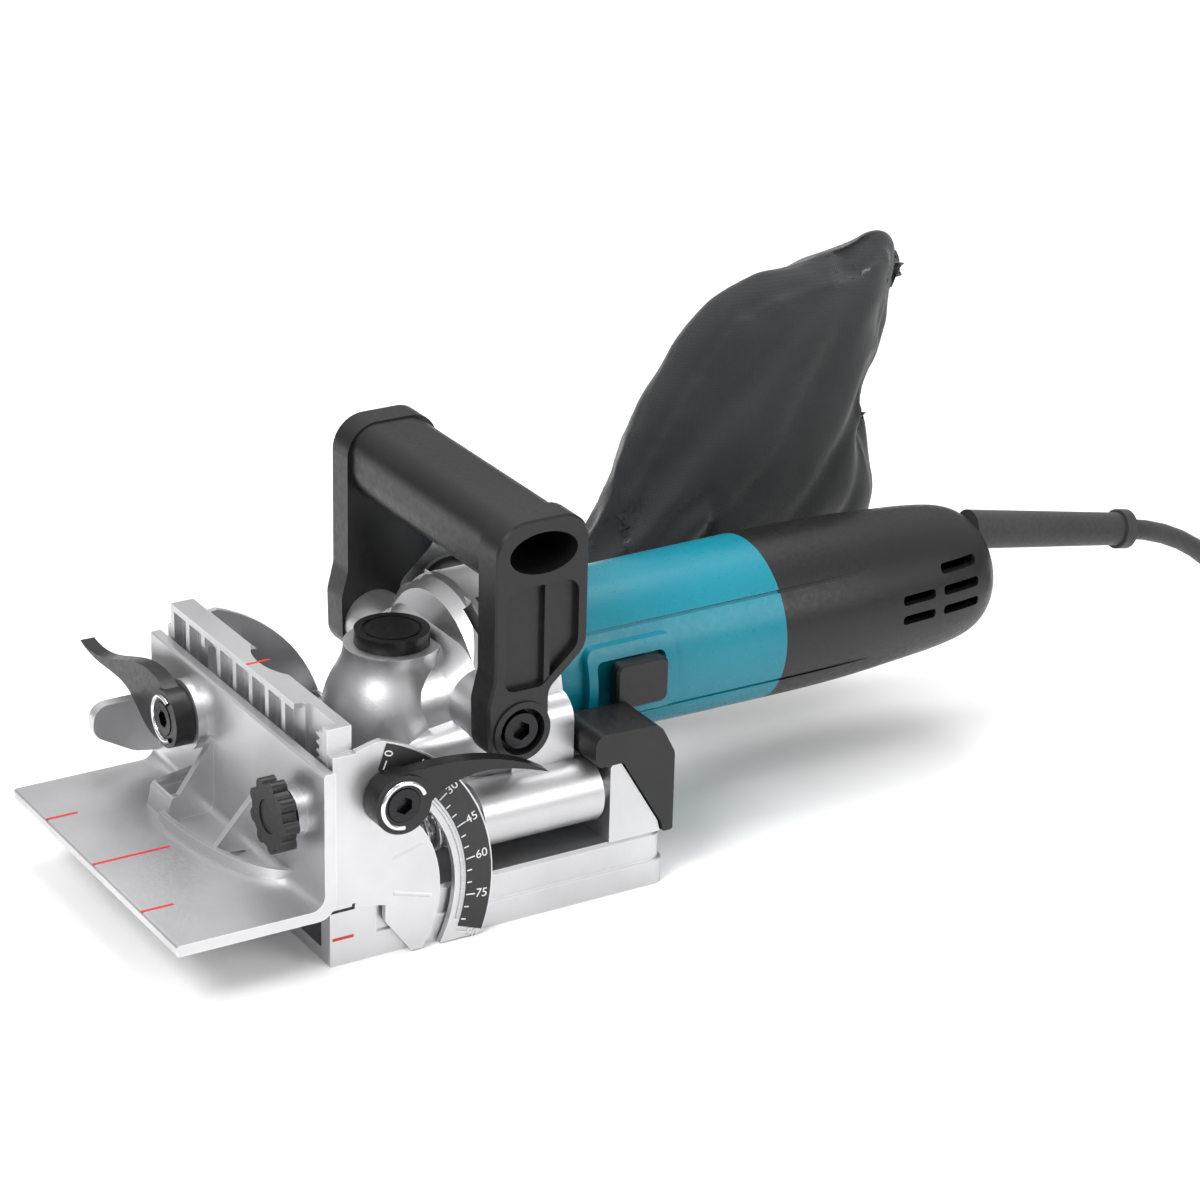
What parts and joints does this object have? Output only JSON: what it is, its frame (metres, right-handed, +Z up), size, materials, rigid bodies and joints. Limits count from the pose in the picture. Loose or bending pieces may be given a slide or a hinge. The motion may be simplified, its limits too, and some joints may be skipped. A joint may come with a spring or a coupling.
{
  "type": "biscuit joiner",
  "caption": "Corded biscuit joiner with a teal motor body, black D-handle, tilting angle guide, height-adjustable fence and cloth dust bag",
  "frame": {"origin": "On the plane of the base's underside, directly under the blade's axis", "axes": "+X the operator's left, +Y rearwards towards the cord, +Z up"},
  "size_m": [0.1977, 0.6541, 0.182],
  "materials": {
    "cast_aluminium": "Die-cast aluminium alloy, fine bead-blasted and clear-coated",
    "steel": "Ground and turned steel",
    "hardened_steel": "Hardened gear and blade steel",
    "black_steel": "Black-oxided steel screws",
    "chrome": "Chrome-plated rods and pins",
    "black_plastic": "Glass-filled nylon with a fine spark texture",
    "teal_plastic": "Glass-filled nylon moulded in teal",
    "rubber": "Soft black rubber",
    "bag_cloth": "Woven polyester filter cloth, black",
    "copper": "Enamelled copper wire and copper bars",
    "carbon": "Sintered carbon",
    "red_paint": "Red paint in a shallow groove",
    "black_print": "Black anodised scale with white marks",
    "laminations": "Varnished electrical steel laminations"
  },
  "bodies": {
    "base": {"base_housing": "cast_aluminium", "grip_pads": "rubber", "guide_rods": "chrome", "return_springs": "steel", "base_screws": "steel", "rear_bridge": "cast_aluminium", "dust_spout": "black_plastic", "bag_collar": "black_plastic", "dust_bag": "bag_cloth", "cover_hinge_pin": "chrome", "clamp_bolts": "black_steel"},
    "cover": {"blade_cover": "cast_aluminium", "cover_screw": "steel"},
    "turret": {"depth_turret": "black_plastic"},
    "guide": {"angle_guide": "cast_aluminium", "angle_sectors": "cast_aluminium", "angle_scale": "black_print", "guide_rack": "steel"},
    "fence_plate": {"fence": "cast_aluminium", "centre_marks": "red_paint"},
    "knob": {"fence_knob": "black_plastic", "fence_pinion": "hardened_steel"},
    "fence_clamp": {"fence_lever": "black_plastic", "fence_bolt": "black_steel"},
    "angle_clamp": {"angle_lever": "black_plastic"},
    "carriage": {"gear_housing": "cast_aluminium", "spindle_bearings": "steel", "front_handle": "black_plastic", "handle_bolts": "black_steel", "button_spring": "steel", "motor_housing": "teal_plastic", "rear_cover": "black_plastic", "motor_bearings": "steel", "field_core": "laminations", "field_windings": "copper", "brush_holders": "black_plastic", "carbon_brushes": "carbon", "switch_body": "black_plastic", "cord_guard": "rubber", "cord_tube": "rubber", "cord_coil": "rubber", "plug": "black_plastic", "plug_pins": "chrome", "cord_tie": "rubber", "depth_stop_rod": "steel"},
    "cutter": {"spindle": "hardened_steel", "bevel_gear": "hardened_steel", "blade": "hardened_steel", "carbide_tips": "hardened_steel", "inner_flange": "steel", "lock_nut": "steel"},
    "rotor": {"armature_shaft": "hardened_steel", "armature_core": "laminations", "armature_windings": "copper", "commutator": "copper", "fan": "black_plastic", "bevel_pinion": "hardened_steel"},
    "lock": {"shaft_lock_button": "black_plastic"},
    "switch": {"switch_slide": "black_plastic"}
  },
  "joints": [
    {"name": "plunge", "type": "slide", "parent": "base", "child": "carriage", "axis": [0, -1, 0], "range_m": [0, 0.0254], "stiffness_N_per_m": 300, "deforming": ["return_springs"]},
    {"name": "armature_spin", "type": "hinge", "parent": "carriage", "child": "rotor", "pos_m": [0, 0.1, 0.0647], "axis": [0, 1, 0], "continuous": true},
    {"name": "blade_spin", "type": "hinge", "parent": "carriage", "child": "cutter", "pos_m": [0, 0, 0.01], "axis": [0, 0, 1], "continuous": true},
    {"name": "shaft_lock", "type": "slide", "parent": "carriage", "child": "lock", "axis": [0, 0, -1], "range_m": [0, 0.003], "stiffness_N_per_m": 900, "springref_m": -0.001, "deforming": ["button_spring"]},
    {"name": "switch", "type": "slide", "parent": "carriage", "child": "switch", "axis": [0, -1, 0], "range_m": [0, 0.0045]},
    {"name": "guide_tilt", "type": "hinge", "parent": "base", "child": "guide", "pos_m": [0.05, -0.0564, 0.023], "axis": [1, 0, 0], "range_deg": [0, 90]},
    {"name": "fence_height", "type": "slide", "parent": "guide", "child": "fence_plate", "axis": [0, 0, 1], "range_m": [0, 0.02]},
    {"name": "fence_knob_turn", "type": "hinge", "parent": "fence_plate", "child": "knob", "pos_m": [0.046, -0.065, 0.0545], "axis": [0, 1, 0], "range_deg": [0, 191]},
    {"name": "fence_lever_turn", "type": "hinge", "parent": "fence_plate", "child": "fence_clamp", "pos_m": [-0.033, -0.07, 0.0577], "axis": [0, 1, 0], "range_deg": [0, 60]},
    {"name": "angle_lever_turn", "type": "hinge", "parent": "base", "child": "angle_clamp", "pos_m": [0.068, -0.034, 0.061], "axis": [1, 0, 0], "range_deg": [0, 60]},
    {"name": "depth_select", "type": "hinge", "parent": "base", "child": "turret", "pos_m": [-0.028, -0.03, 0.031], "axis": [0, 1, 0], "range_deg": [0, 300]},
    {"name": "cover_hinge", "type": "hinge", "parent": "base", "child": "cover", "pos_m": [0, 0.065, 0.0032], "axis": [1, 0, 0], "range_deg": [0, 75]}
  ],
  "couplings": [
    {"joint": "blade_spin", "follows": "armature_spin", "ratio": 0.33333},
    {"joint": "fence_knob_turn", "follows": "fence_height", "rad_per_m": 166.67}
  ]
}
